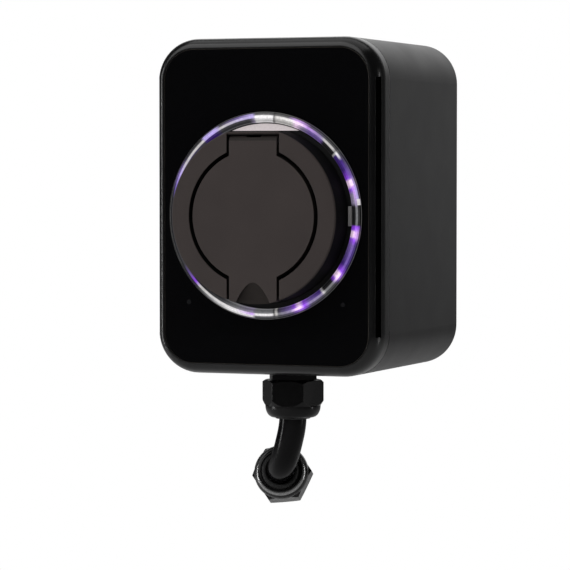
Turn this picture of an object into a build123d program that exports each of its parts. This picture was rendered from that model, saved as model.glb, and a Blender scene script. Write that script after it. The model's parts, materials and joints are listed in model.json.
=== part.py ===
from build123d import *
import math
import os

# A wall-mounted charging box for electric cars, with a lidded socket in the middle of a lit ring.
# Millimetres. X is to the right as seen from the front, Y goes into the wall and Z is up.
# The origin is the centre of the wall bracket's back face. A depth is counted from the glass backwards.

# Case
case_width = 143.0
case_height = 200.0
case_depth = 144.0
corner_radius = 25.0
case_wall = 3.2
back_wall = 3.0

# Front cover
bezel_inset = 6.1
bezel_depth = 10.8
band_depth = 7.0
lip_width = 0.25
front_wall = 4.0
tongue_length = 5.0
tongue_wall = 1.7
tongue_gap = 0.3
seam = 0.6
gasket_inset = 0.9
groove_width = 4.5
groove_depth = 0.8
groove_end_gap = 24.0
groove_turn = 48.0

# Glass and indicator lenses
glass_thickness = 3.0
glass_gap = 0.15
glass_chamfer = 0.3
lens_radius = 1.3
lens_gap = 0.1
lens_margin = 9.73
lens_turn = 46.54
lens_flange_radius = 2.6
lens_flange = 1.0

# Ring and its carrier
socket_z = -5.3
ring_margin = 10.0
ring_inner_share = 0.89431
ring_proud = 2.2
ring_back = 3.3
ring_gap = 0.2
shoulder = 0.9
carrier_front = 0.6
carrier_flange_width = 3.0
carrier_flange = 2.5
ear_radius = 5.5
channel_depth = 5.5
strip_thickness = 0.5
strip_side_gap = 0.2
led_count = 24
led_size = 3.2
led_height = 1.4
window_front = 0.3
window_back = 4.0
window_wall = 0.5
clip_side_gap = 0.475
clip_height = 11.5
clip_proud = 0.2
clip_back = 3.0
small_gap = 0.1

# Socket collar and bucket. A share is of the ring's outer radius.
collar_share = 0.84065
collar_flat_share = 0.80325
collar_proud = 19.3
collar_wall = 3.0
collar_chamfer = 0.6
collar_gap = 0.15
plate_margin_x = 5.0
plate_margin_z = 5.9
plate_corner = 6.0
plate_thickness = 3.0
pocket_depth = 8.5
slot_gap = 2.5
tab_gap = 1.6
tab_end_gap = 0.3
rim_chamfer = 1.2
bucket_share = 0.52033
bucket_flat_share = 0.42276
bucket_wall = 3.2
bucket_end = 34.0
bucket_floor = 3.0
bucket_flange = 4.0
bucket_flange_thickness = 2.0
bucket_screw_margin = 3.6

# Lid, its hinge, spring and seal
lid_share = 0.62195
lid_thickness = 6.5
tab_width_share = 0.4878
tab_top_share = 0.76911
knuckle_radius = 4.0
scoop_width_share = 0.36748
scoop_height_share = 0.20976
scoop_half_share = 0.70711
scoop_depth = 4.2
scoop_tilt = 18.0
hinge_pin_radius = 1.5
hinge_pin_margin = 5.0
running_gap = 0.05
notch_half = 4.5
notch_below = 3.5
notch_skin = 1.25
spring_wire = 0.35
spring_radius = 2.05
spring_turns = 7
seal_outer_share = 0.59675
seal_width = 2.5
seal_gap = 0.3

# Socket insert and contacts
insert_front = -8.0
insert_share = 0.42276
insert_flat_share = 0.3252
contact_mouth = 3.0
contact_lead_in = 0.3
power_shares = [(0.0, 0.0), (-0.27642, 0.0), (0.27642, 0.0), (-0.14309, -0.24715), (0.14309, -0.24715)]
signal_shares = [(-0.13008, 0.20325), (0.13008, 0.20325)]
power_bore = 3.05
power_sleeve = 4.2
signal_bore = 1.6
signal_sleeve = 2.6
contact_length = 30.0
tail_radius = 2.2
tail_length = 7.0
insert_screw_shares = (0.34146, 0.14634)

# Lock
lock_depth = 24.0
lock_pin_radius = 2.4
lock_pin_length = 17.0
lock_rest = 0.3
lock_width = 26.0
lock_height = 20.0
lock_length = 18.0
lock_headroom = 2.0

# Screws: shank radius, head radius, head height
socket_screw_shares = (0.84553, 0.66016)
socket_screw = (1.5, 2.8, 2.0)
socket_screw_grip = 3.0
cover_screw = (2.0, 3.6, 3.5)
cover_screw_bite = 8.0
cover_screw_wall = 13.0
board_screw = (1.5, 2.8, 2.0)
board_screw_bite = 5.0
insert_screw = (1.25, 2.3, 1.6)
insert_screw_bite = 7.0
bucket_screw = (1.0, 1.9, 1.2)
bucket_screw_bite = 2.2
screw_gap = 0.1
driver_radius_share = 0.5
driver_depth_share = 0.6
post_inset = 13.2
post_radius = 5.5
boss_radius = 4.6
counterbore_gap = 0.4
post_end_gap = 0.3

# Wall bracket
bracket_side_gap = 19.5
bracket_end_gap = 25.0
bracket_sheet = 2.0
bracket_depth = 8.0
bracket_corner = 5.0
bracket_gap = 0.3
wall_screw_inset_x = 12.0
wall_screw_inset_z = 15.0
wall_screw_radius = 2.75
hook_share = 0.28846
hook_inset = 23.0
hook_width = 12.0
hook_rise = 8.0
hook_gap = 0.2
recess_wall = 3.0

# Board and what stands on it. A share is of the board's width or height.
board_side_gap = 21.5
board_end_gap = 25.0
board_thickness = 1.6
board_z = 8.0
board_boss_radius = 4.0
board_boss_height = 8.0
board_screw_inset_x = 5.0
board_screw_inset_z = 8.0
relay_shares = (0.3, 0.28)
relay_height = 22.0
relay_place_shares = (0.22, 0.29333)
block_height = 24.0
block_margin = 8.0
supply_block_length = 20.0
supply_block_inset = 12.0
block_hole_gap = 0.4
block_hole_depth = 6.0
terminal_count = 5
terminal_pitch_share = 0.12
terminal_margin = 1.0
# Each small part: its place as shares, its width as a share, its height off the board, its length as a share
chips = [
    (-0.38, 0.08, 0.14, 3.0, 0.0933),
    (0.38, 0.08, 0.10, 5.0, 0.12),
    (-0.38, -0.0933, 0.12, 9.0, 0.1067),
    (0.38, -0.1067, 0.12, 14.0, 0.08),
    (-0.38, -0.2533, 0.14, 6.0, 0.1067),
    (0.0, 0.46, 0.60, 5.0, 0.04),
]

# Leads
lead_radius = 2.0
signal_lead_radius = 1.0
lead_drop = 8.0
lead_bend = 9.0
core_ring = 4.6
core_bend = 5.0
core_rises = {90: 11.0, 18: 15.0, 162: 15.0, 306: 22.0, 234: 22.0}
core_order = [234, 162, 90, 18, 306]

# Glands: outwards is the way the cable leaves, and heights are counted from the seat of the washer
gland_depth = 45.0
thread_radius = 12.4
thread_length = 13.0
hole_gap = 0.2
washer_radius = 14.6
washer_thickness = 1.5
gland_hex = 27.0
gland_hex_top = 5.0
gland_tube_radius = 13.2
gland_tube_top = 21.0
gland_bore = 9.5
inlet_nut_hex = 33.0
far_nut_hex = 32.0
nut_bottom = 5.3
nut_hex_top = 20.7
nut_corner_radius = 18.9
nut_chamfer = 3.0
nut_end_step = 0.4
nut_end_chamfer = 1.3
dome_radius = 16.8
nut_top = 27.9
mouth_radius = 12.25
nut_wall_gap = 0.1
seal_bottom = 14.0
seal_top = 28.7
seal_outer_bevel = 1.6
seal_inner_bevel = 0.8
seal_clearance = 0.25
locknut_hex = 32.0
locknut_height = 5.0
# How far the body's hexagon and the dome nut's are turned
inlet_turns = (2.0, -9.7)
far_turns = (9.0, 10.0)

# Supply cable: its free part's points and the far gland's mouth are counted from the inlet gland's seat
cable_radius = 8.3
tail_rise = 16.0
cable_route = [
    (0.0, 0.0, -7.0),
    (0.0, 0.0, -19.5),
    (0.0, 0.05, -32.5),
    (-3.4, 1.3, -45.0),
    (-8.0, 5.4, -55.6),
    (-13.9, 13.2, -61.8),
    (-17.8, 27.1, -66.0),
    (-21.5, 40.0, -69.9),
    (-24.9, 52.4, -73.6),
]
far_mouth = (-14.7, 16.0, -62.6)
far_axis = (-0.26, 0.925, -0.28)
arc_share = 0.45

# Worked out from the sizes above
half_width = case_width / 2
half_height = case_height / 2
band_end = bezel_depth + band_depth
housing_front = band_end + seam
wall_front = glass_thickness
wall_back = glass_thickness + front_wall
tongue_outer = case_wall + tongue_gap
tongue_inner = tongue_outer + tongue_wall
tongue_end = band_end + tongue_length
glass_inset = bezel_inset + lip_width
groove_length = case_height - 2 * groove_end_gap

ring_outer_radius = half_width - ring_margin
ring_inner_radius = ring_inner_share * ring_outer_radius
carrier_flange_radius = ring_outer_radius + carrier_flange_width
carrier_back = wall_back + carrier_flange
collar_radius = collar_share * ring_outer_radius
collar_flat = collar_flat_share * ring_outer_radius
plate_back = carrier_back + plate_thickness
clip_x = (collar_radius + collar_gap + ring_inner_radius) / 2
clip_width = ring_inner_radius - collar_radius - collar_gap - 2 * clip_side_gap
bucket_radius = bucket_share * ring_outer_radius
bucket_flat = bucket_flat_share * ring_outer_radius
insert_radius = insert_share * ring_outer_radius
insert_flat = insert_flat_share * ring_outer_radius
lid_radius = lid_share * ring_outer_radius
lid_slot_radius = lid_radius + slot_gap
tab_width = tab_width_share * ring_outer_radius
tab_top = tab_top_share * ring_outer_radius
scoop_width = scoop_width_share * ring_outer_radius
scoop_height = scoop_height_share * ring_outer_radius
hinge_pin_length = tab_width + 2 * hinge_pin_margin
seal_outer_radius = seal_outer_share * ring_outer_radius
face = -collar_proud
pocket_floor = face + pocket_depth
bucket_front = pocket_floor + collar_wall
lid_back = face + lid_thickness
pivot_depth = face + knuckle_radius
pivot_z = tab_top - knuckle_radius

post_x = half_width - post_inset
post_z = half_height - post_inset
post_front = tongue_end + post_end_gap
screw_seat = post_front + cover_screw_wall
screw_tip = post_front - cover_screw_bite
recess_floor = case_depth - bracket_depth
inner_back = recess_floor - back_wall
bracket_width = case_width - 2 * bracket_side_gap
bracket_height = case_height - 2 * bracket_end_gap
hook_x = hook_share * bracket_width
hook_z = bracket_height / 2 - hook_inset
board_width = case_width - 2 * board_side_gap
board_height = case_height - 2 * board_end_gap
board_back = inner_back - board_boss_height
board_front = board_back - board_thickness
terminal_pitch = terminal_pitch_share * board_width
supply_block_z = board_z - board_height / 2 + supply_block_inset
contact_back = bucket_end
tail_end = contact_back + tail_length
gland_y = gland_depth - case_depth
seat = (0.0, gland_y, -half_height)


def at(depth):
    """The Y of the plane that lies this far behind the glass."""
    return depth - case_depth


def slab(sketch, front, back):
    """A sketch drawn as seen from the front, X right and Z up, filled between two depths."""
    plane = Plane(origin=(0, at(back), 0), x_dir=(1, 0, 0), z_dir=(0, -1, 0))
    return extrude(plane * sketch, amount=back - front)


def outline(inset):
    """The case's outline, this far in from its sides."""
    return RectangleRounded(case_width - 2 * inset, case_height - 2 * inset, corner_radius - inset)


def disc(radius, front, back, x=0.0, z=0.0):
    return slab(Pos(x, z) * Circle(radius), front, back)


def tube(outer, inner, front, back, x=0.0, z=0.0):
    return slab(Pos(x, z) * (Circle(outer) - Circle(inner)), front, back)


def flat_top(radius, flat):
    """A circle at the socket's centre, cut off level at a height above that centre."""
    box = Pos(0, (flat - radius) / 2) * Rectangle(2 * radius, flat + radius)
    return Pos(0, socket_z) * (Circle(radius) & box)


def block(x, z, width, height, front, back):
    return slab(Pos(x, z) * Rectangle(width, height), front, back)


def joined(solids):
    """Separate solids kept in one node."""
    return Compound(children=list(solids))


def screw(sizes, x, z, seat, tip):
    """A screw put in from behind: its head lies behind the seat, and its shank runs forward to the tip."""
    shank, head, height = sizes
    drive = RegularPolygon(head * driver_radius_share, 6)
    body = disc(shank, tip, seat, x, z) + disc(head, seat, seat + height, x, z)
    return body - slab(Pos(x, z) * drive, seat + height * (1 - driver_depth_share), seat + height)


def front_screw(sizes, x, z, seat, tip):
    """A screw put in from the front: its head lies in front of the seat."""
    shank, head, height = sizes
    drive = RegularPolygon(head * driver_radius_share, 6)
    body = disc(shank, seat, tip, x, z) + disc(head, seat - height, seat, x, z)
    return body - slab(Pos(x, z) * drive, seat - height, seat - height * (1 - driver_depth_share))


def corners(x, z):
    return [(sx * x, sz * z) for sx in (-1, 1) for sz in (-1, 1)]


def on_socket(shares):
    """A place on the socket's face from its shares of the ring's outer radius."""
    return shares[0] * ring_outer_radius, socket_z + shares[1] * ring_outer_radius


def mirrored(x, z):
    return [(-x, z), (x, z)]


power_places = [on_socket(shares) for shares in power_shares]
signal_places = [on_socket(shares) for shares in signal_shares]
insert_places = mirrored(*on_socket(insert_screw_shares))
socket_screw_x = socket_screw_shares[0] * ring_outer_radius
socket_screw_z = socket_screw_shares[1] * ring_outer_radius
socket_places = [(x, z + socket_z) for x, z in corners(socket_screw_x, socket_screw_z)]
bucket_reach = (bucket_radius + bucket_wall + bucket_screw_margin) / math.sqrt(2)
bucket_places = [(x, z + socket_z) for x, z in corners(bucket_reach, bucket_reach)]
post_places = corners(post_x, post_z)
board_places = [
    (x, z + board_z)
    for x, z in corners(board_width / 2 - board_screw_inset_x, board_height / 2 - board_screw_inset_z)
]
lens_reach = ring_outer_radius + lens_margin
lens_x = lens_reach * math.cos(math.radians(lens_turn))
lens_z = socket_z - lens_reach * math.sin(math.radians(lens_turn))
lens_places = mirrored(lens_x, lens_z)


def bezel_ring():
    """The cover's side and its rounded bezel: one section swept round the case's outline."""
    section = Plane(origin=(half_width, at(0), 0), x_dir=(-1, 0, 0), z_dir=(0, 0, -1))
    curve = EllipticalCenterArc(
        (bezel_inset, bezel_depth), bezel_inset, bezel_depth, start_angle=180, arc_size=90
    )
    edges = Polyline(
        (bezel_inset, 0),
        (glass_inset, 0),
        (glass_inset, wall_back),
        (case_wall, wall_back),
        (case_wall, band_end - tongue_wall - tongue_gap - tongue_wall),
        (tongue_inner, band_end - tongue_wall),
        (tongue_inner, tongue_end),
        (tongue_outer, tongue_end),
        (tongue_outer, band_end),
        (0, band_end),
        (0, bezel_depth),
    )
    x, z, radius = half_width, half_height, corner_radius
    front = Plane(origin=(0, at(0), 0), x_dir=(1, 0, 0), z_dir=(0, -1, 0))
    rounds = [
        CenterArc((sx * (x - radius), sz * (z - radius)), radius, start, 90)
        for sx, sz, start in ((1, 1, 0), (-1, 1, 90), (-1, -1, 180), (1, -1, 270))
    ]
    stops = [(x, 0)] + [end for arc in rounds for end in (arc @ 0, arc @ 1)] + [(x, 0)]
    sides = [Line(stops[i], stops[i + 1]) for i in range(0, len(stops), 2)]
    path = front * Wire([*sides, *rounds])
    return sweep(section * make_face(curve + edges), path=path)


def side_groove(side):
    """The cutter for the long shallow groove down the bezel's slope."""
    turn = math.radians(groove_turn)
    x = half_width - bezel_inset * (1 - math.sin(turn))
    y = at(bezel_depth * (1 - math.cos(turn)))
    slope = math.degrees(math.atan2(bezel_depth * math.sin(turn), bezel_inset * math.cos(turn)))
    cutter = Box(groove_width, 2 * groove_depth, groove_length)
    return Pos(side * x, y, 0) * Rot(0, 0, side * slope) * cutter


def make_front_cover():
    cover = bezel_ring() + slab(outline(glass_inset - 1), wall_front, wall_back)
    for x, z in post_places:
        cover += disc(boss_radius, wall_front, post_front, x, z)
    cover -= disc(ring_outer_radius + ring_gap, 0, wall_back, 0, socket_z)
    for x, z in post_places:
        cover -= disc(cover_screw[0] + running_gap, screw_tip - screw_gap, post_front, x, z)
    for x, z in lens_places:
        cover -= disc(lens_radius + lens_gap, wall_front, wall_back, x, z)
    for x, z in socket_places:
        tip = wall_back - socket_screw_grip - screw_gap
        cover -= disc(socket_screw[0] + running_gap, tip, wall_back, x, z)
    for side in (-1, 1):
        cover -= side_groove(side)
    return cover


def make_front_panel():
    panel = slab(outline(glass_inset + glass_gap), 0, glass_thickness)
    panel = chamfer(panel.edges().group_by(Axis.Y)[0], glass_chamfer)
    panel -= disc(ring_outer_radius + ring_gap, 0, glass_thickness, 0, socket_z)
    for x, z in lens_places:
        panel -= disc(lens_radius + lens_gap, 0, glass_thickness, x, z)
    return panel


def make_indicator_lenses():
    return joined(
        disc(lens_radius, 0, wall_back + lens_flange, x, z)
        + disc(lens_flange_radius, wall_back, wall_back + lens_flange, x, z)
        for x, z in lens_places
    )


def make_cover_gasket():
    ring = outline(gasket_inset) - outline(tongue_outer - tongue_gap / 2)
    return slab(ring, band_end, housing_front)


def make_rear_housing():
    housing = slab(outline(0), housing_front, case_depth)
    housing -= slab(outline(case_wall), housing_front, case_depth - back_wall)
    skirt = recess_wall + bracket_gap
    housing += slab(
        RectangleRounded(bracket_width + 2 * skirt, bracket_height + 2 * skirt, bracket_corner + skirt),
        inner_back,
        case_depth,
    )
    housing -= slab(
        RectangleRounded(
            bracket_width + 2 * bracket_gap, bracket_height + 2 * bracket_gap, bracket_corner + bracket_gap
        ),
        recess_floor,
        case_depth,
    )
    for side in (-1, 1):
        slot_width = hook_width + 2 * hook_gap
        slot_height = hook_rise + bracket_sheet + 3 * hook_gap
        slot_z = hook_z + bracket_sheet + hook_gap - slot_height / 2
        housing -= block(side * hook_x, slot_z, slot_width, slot_height, inner_back, recess_floor)
    for x, z in post_places:
        housing += disc(post_radius, post_front, case_depth - back_wall / 2, x, z)
    for x, z in post_places:
        housing -= disc(cover_screw[0] + screw_gap, post_front, screw_seat, x, z)
        housing -= disc(cover_screw[1] + counterbore_gap, screw_seat, case_depth, x, z)
    for x, z in board_places:
        housing += disc(board_boss_radius, board_back, inner_back + back_wall / 2, x, z)
        tip = board_back + board_screw_bite + screw_gap
        housing -= disc(board_screw[0] + running_gap, board_back, tip, x, z)
    hole = Pos(0, gland_y, -half_height) * Cylinder(thread_radius + hole_gap, 3 * case_wall)
    return housing - hole


def make_cover_screws():
    return joined(screw(cover_screw, x, z, screw_seat, screw_tip) for x, z in post_places)


def window_outline(gap):
    """The segment between the ring and the collar's flat top, smaller by a gap all round."""
    radius = ring_inner_radius - window_wall - gap
    bottom = collar_flat + collar_gap + window_wall + gap
    box = Pos(0, bottom + radius / 2) * Rectangle(2 * radius, radius)
    return Pos(0, socket_z) * (Circle(radius) & box)


def make_ring_carrier():
    body = disc(ring_outer_radius, carrier_front, carrier_back, 0, socket_z)
    body += disc(carrier_flange_radius, wall_back, carrier_back, 0, socket_z)
    for x, z in socket_places:
        body += disc(ear_radius, wall_back, carrier_back, x, z)
    body -= tube(ring_outer_radius + 1, ring_inner_radius, carrier_front, ring_back, 0, socket_z)
    body -= tube(
        ring_outer_radius - shoulder, ring_inner_radius + shoulder, ring_back, channel_depth, 0, socket_z
    )
    body -= slab(flat_top(collar_radius + collar_gap, collar_flat + collar_gap), carrier_front, carrier_back)
    body -= slab(window_outline(0), carrier_front, window_back)
    clip_size = (clip_width + 2 * small_gap, clip_height + 2 * small_gap)
    body -= block(clip_x, socket_z, *clip_size, carrier_front, clip_back)
    for x, z in socket_places:
        body -= disc(socket_screw[0] + screw_gap, wall_back, carrier_back, x, z)
    return body


def make_light_ring():
    ring = tube(ring_outer_radius, ring_inner_radius + small_gap, -ring_proud, ring_back, 0, socket_z)
    front_edges = ring.edges().filter_by(GeomType.CIRCLE).sort_by(Axis.Y)[:2]
    return fillet(front_edges, ring_proud - small_gap)


def strip_radii():
    inner = ring_inner_radius + shoulder + strip_side_gap
    outer = ring_outer_radius - shoulder - strip_side_gap
    return inner, outer


def make_led_strip():
    inner, outer = strip_radii()
    return tube(outer, inner, channel_depth - strip_thickness, channel_depth, 0, socket_z)


def make_leds():
    inner, outer = strip_radii()
    back = channel_depth - strip_thickness
    one = block((inner + outer) / 2, 0, led_size, led_size, back - led_height, back)
    turn = 360 / led_count
    return joined(Pos(0, 0, socket_z) * Rot(0, turn * (i + 0.5), 0) * one for i in range(led_count))


def make_status_window():
    return slab(window_outline(small_gap), window_front, window_back)


def make_ring_clip():
    return block(clip_x, socket_z, clip_width, clip_height, -clip_proud, clip_back)


def tab_sketch(width, top, bottom):
    """A straight band up and down across the socket's centre."""
    return Pos(0, socket_z + (top + bottom) / 2) * Rectangle(width, top - bottom)


def hinge_rod(radius, length):
    return Pos(0, at(pivot_depth), socket_z + pivot_z) * Rot(0, 90, 0) * Cylinder(radius, length)


def make_socket_collar():
    """The proud face and its skin, with the flange that the screws hold and the pocket for the lid."""
    body = slab(flat_top(collar_radius, collar_flat), face, carrier_back)
    body = chamfer(body.edges().group_by(Axis.Y)[0], collar_chamfer)
    plate = RectangleRounded(
        2 * (socket_screw_x + plate_margin_x), 2 * (socket_screw_z + plate_margin_z), plate_corner
    )
    body += slab(Pos(0, socket_z) * (plate + Circle(ring_inner_radius)), carrier_back, plate_back)
    hollow = flat_top(collar_radius - collar_wall, collar_flat - collar_wall)
    body -= slab(hollow, bucket_front, plate_back)
    lugs = tab_sketch(hinge_pin_length + 2 * collar_wall, collar_flat, pivot_z - 2 * hinge_pin_radius)
    lugs = lugs & flat_top(collar_radius, collar_flat)
    body += slab(lugs, face + rim_chamfer, bucket_front)
    body -= slab(flat_top(bucket_radius, bucket_flat), pocket_floor, bucket_front)
    pocket_top = tab_top + tab_end_gap
    pocket = Pos(0, socket_z) * Circle(lid_slot_radius)
    pocket += tab_sketch(tab_width + 2 * tab_gap, pocket_top, -collar_radius - collar_wall)
    body -= slab(pocket, face, pocket_floor)
    rim = Pos(0, at(face), socket_z + pocket_top) * Rot(45, 0, 0)
    body -= rim * Box(tab_width + 2 * tab_gap, rim_chamfer * math.sqrt(2), rim_chamfer * math.sqrt(2))
    body -= hinge_rod(hinge_pin_radius + running_gap, hinge_pin_length + 2 * small_gap)
    for x, z in socket_places:
        body -= disc(socket_screw[0] + screw_gap, carrier_back, plate_back, x, z)
    tip = bucket_front - bucket_screw_bite - screw_gap
    for x, z in bucket_places:
        body -= disc(bucket_screw[0] + running_gap, tip, bucket_front, x, z)
    return body


def make_socket_bucket():
    """The tube behind the collar's face that takes the plug, with a flange in front and a floor behind."""
    wide, high = bucket_radius + bucket_wall, bucket_flat + bucket_wall
    body = slab(flat_top(wide, high), bucket_front, bucket_end + bucket_floor)
    body += slab(flat_top(wide + bucket_flange, high), bucket_front, bucket_front + bucket_flange_thickness)
    for x, z in bucket_places:
        boss = Pos(x, z) * Circle(bucket_screw_margin)
        body += slab(boss, bucket_front, bucket_front + bucket_flange_thickness)
    body -= slab(flat_top(bucket_radius, bucket_flat), bucket_front, bucket_end)
    for x, z in power_places + signal_places:
        body -= disc(tail_radius + screw_gap, bucket_end, bucket_end + bucket_floor, x, z)
    for x, z in insert_places:
        body -= disc(insert_screw[0] + screw_gap, bucket_end, bucket_end + bucket_floor, x, z)
    for x, z in bucket_places:
        body -= disc(bucket_screw[0] + screw_gap, bucket_front, bucket_front + bucket_flange_thickness, x, z)
    return body - lock_rod(lock_pin_radius + running_gap, bucket_flat - 1, high + 1)


def make_bucket_screws():
    back = bucket_front + bucket_flange_thickness
    tip = bucket_front - bucket_screw_bite
    return joined(screw(bucket_screw, x, z, back, tip) for x, z in bucket_places)


def make_socket_screws():
    tip = wall_back - socket_screw_grip
    return joined(screw(socket_screw, x, z, plate_back, tip) for x, z in socket_places)


def scoop_cutter():
    """The finger scoop: a pointed arch that gets deeper towards the lid's lower end."""
    length = 3 * scoop_depth
    side, height = scoop_width / 2, scoop_height
    middle = scoop_half_share * side
    arch = Spline((side, 0), (middle, height / 2), (0, height), (-middle, height / 2), (-side, 0))
    below = Polyline((-side, 0), (-side, -height), (side, -height), (side, 0))
    cutter = slab(make_face(arch + below), 0, length)
    top = (0, at(face), socket_z - collar_radius + scoop_height)
    return Pos(*top) * Rot(scoop_tilt, 0, 0) * Pos(0, -at(0) - length, -scoop_height) * cutter


def make_socket_lid():
    sketch = Pos(0, socket_z) * Circle(lid_radius)
    sketch += tab_sketch(tab_width, pivot_z, -collar_radius) & flat_top(collar_radius, collar_flat)
    lid = slab(sketch, face, lid_back)
    lid = lid + hinge_rod(knuckle_radius, tab_width)
    lid -= hinge_rod(hinge_pin_radius + running_gap, tab_width)
    notch_bottom = socket_z + pivot_z - notch_below
    notch_top = socket_z + tab_top
    lid -= block(0, (notch_bottom + notch_top) / 2, 2 * notch_half, notch_top - notch_bottom,
                 face + notch_skin, pivot_depth + knuckle_radius)
    return lid - scoop_cutter()


def make_lid_seal():
    inner = seal_outer_radius - seal_width
    return tube(seal_outer_radius, inner, lid_back, pocket_floor - seal_gap, 0, socket_z)


def make_hinge_pin():
    return hinge_rod(hinge_pin_radius, hinge_pin_length)


def make_lid_spring():
    """A coil round the hinge pin, with one leg back to the collar and one down behind the lid."""
    pitch = 2 * spring_wire + running_gap
    length = pitch * spring_turns
    coil = Helix(pitch, length, spring_radius)
    wire = sweep(Plane(origin=coil @ 0, z_dir=coil % 0) * Circle(spring_wire), path=coil)
    place = Pos(-length / 2, at(pivot_depth), socket_z + pivot_z) * Rot(0, 90, 0)
    reach = pocket_floor - pivot_depth
    low = socket_z + pivot_z - spring_radius
    back_leg = Pos(-length / 2, at(pivot_depth), low) * Rot(-90, 0, 0)
    back_leg = back_leg * Cylinder(spring_wire, reach, align=(Align.CENTER, Align.CENTER, Align.MIN))
    return place * wire + back_leg


def make_socket_insert():
    body = slab(flat_top(insert_radius, insert_flat), insert_front, bucket_end)
    rows = [(power_places, power_bore, power_sleeve), (signal_places, signal_bore, signal_sleeve)]
    sleeve_front = insert_front + contact_mouth
    for places, bore, sleeve in rows:
        for x, z in places:
            body -= disc(bore + contact_lead_in, insert_front, sleeve_front, x, z)
            body -= disc(sleeve + running_gap, sleeve_front, bucket_end, x, z)
    tip = bucket_end - insert_screw_bite - screw_gap
    for x, z in insert_places:
        body -= disc(insert_screw[0] + running_gap, tip, bucket_end, x, z)
    return body


def make_contact_sleeves():
    front = insert_front + contact_mouth
    rows = [(power_places, power_bore, power_sleeve), (signal_places, signal_bore, signal_sleeve)]
    sleeves = []
    for places, bore, sleeve in rows:
        for x, z in places:
            body = disc(sleeve, front, contact_back, x, z)
            body += disc(tail_radius, contact_back, tail_end, x, z)
            sleeves.append(body - disc(bore, front, front + contact_length, x, z))
    return joined(sleeves)


def make_insert_screws():
    back = bucket_end + bucket_floor
    tip = bucket_end - insert_screw_bite
    return joined(screw(insert_screw, x, z, back, tip) for x, z in insert_places)


def lock_rod(radius, low, high):
    """An upright rod above the socket, between two heights over its centre."""
    place = Pos(0, at(lock_depth), socket_z + low)
    return place * Cylinder(radius, high - low, align=(Align.CENTER, Align.CENTER, Align.MIN))


def make_lock_pin():
    low = bucket_flat + lock_rest
    return lock_rod(lock_pin_radius, low, low + lock_pin_length)


def make_lock_actuator():
    low = bucket_flat + bucket_wall
    place = Pos(0, at(lock_depth), socket_z + low + lock_height / 2)
    hollow_top = bucket_flat + lock_rest + lock_pin_length + lock_headroom
    hollow = lock_rod(lock_pin_radius + running_gap, low, hollow_top)
    return place * Box(lock_width, lock_length, lock_height) - hollow


def hook(side):
    """A tongue out of the bracket's sheet, through the case's back wall, and turned up behind it."""
    x, back = side * hook_x, inner_back - hook_gap
    front = back - bracket_sheet
    rise = bracket_sheet + hook_rise
    root = case_depth - bracket_sheet / 2
    tongue = block(x, hook_z + bracket_sheet / 2, hook_width, bracket_sheet, front, root)
    return tongue + block(x, hook_z + rise / 2, hook_width, rise, front, back)


def make_wall_bracket():
    tray = slab(RectangleRounded(bracket_width, bracket_height, bracket_corner), recess_floor, case_depth)
    inner = RectangleRounded(
        bracket_width - 2 * bracket_sheet, bracket_height - 2 * bracket_sheet, bracket_corner - bracket_sheet
    )
    tray -= slab(inner, recess_floor, case_depth - bracket_sheet)
    for side in (-1, 1):
        tray += hook(side)
    for x, z in corners(bracket_width / 2 - wall_screw_inset_x, bracket_height / 2 - wall_screw_inset_z):
        tray -= disc(wall_screw_radius, case_depth - bracket_sheet, case_depth, x, z)
    return tray


def make_control_board():
    board = block(0, board_z, board_width, board_height, board_front, board_back)
    for x, z in board_places:
        board -= disc(board_screw[0] + screw_gap, board_front, board_back, x, z)
    return board


def make_board_screws():
    tip = board_back + board_screw_bite
    return joined(front_screw(board_screw, x, z, board_front, tip) for x, z in board_places)


def make_board_parts():
    parts = []
    for x, z, width, tall, length in chips:
        place = (x * board_width, board_z + z * board_height)
        size = (width * board_width, length * board_height)
        parts.append(block(*place, *size, board_front - tall, board_front))
    return joined(parts)


def make_power_relays():
    width, length = relay_shares[0] * board_width, relay_shares[1] * board_height
    x, z = relay_place_shares[0] * board_width, board_z + relay_place_shares[1] * board_height
    front = board_front - relay_height
    return joined(block(side * x, z, width, length, front, board_front) for side in (-1, 1))


def make_outlet_terminals():
    """The block that the socket's leads go into, as wide and high as those leads and a margin."""
    leads = outlet_leads()
    low_x, high_x = min(x for x, z, r in leads), max(x for x, z, r in leads)
    low_z, high_z = min(z for x, z, r in leads) + lead_drop, max(z for x, z, r in leads) + lead_drop
    front = board_front - block_height
    body = block(
        (low_x + high_x) / 2,
        (low_z + high_z) / 2,
        high_x - low_x + 2 * block_margin,
        high_z - low_z + 2 * block_margin,
        front,
        board_front,
    )
    for x, z, radius in leads:
        body -= disc(radius + block_hole_gap, front, front + block_hole_depth, x, z + lead_drop)
    return body


def outlet_leads():
    power = [(x, z, lead_radius) for x, z in power_places]
    return power + [(x, z, signal_lead_radius) for x, z in signal_places]


def wire(points, radius, bend):
    """A round wire along straight runs joined by arcs."""
    path = FilletPolyline(*points, radius=bend)
    return sweep(Plane(origin=path @ 0, z_dir=path % 0) * Circle(radius), path=path)


def make_socket_leads():
    start = at(tail_end)
    end = at(board_front - block_height + block_hole_depth)
    third = (end - start) / 3
    leads = []
    for x, z, radius in outlet_leads():
        low, high = z, z + lead_drop
        points = [(x, start, low), (x, start + third, low), (x, end - third, high), (x, end, high)]
        leads.append(wire(points, radius, lead_bend))
    return joined(leads)


def terminal_places():
    return [(i - (terminal_count - 1) / 2) * terminal_pitch for i in range(terminal_count)]


def make_supply_terminals():
    front = board_front - block_height
    width = terminal_count * terminal_pitch + 2 * terminal_margin
    body = block(0, supply_block_z, width, supply_block_length, front, board_front)
    for x in terminal_places():
        body -= disc(lead_radius + block_hole_gap, front, front + block_hole_depth, x, supply_block_z)
    return body


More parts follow.
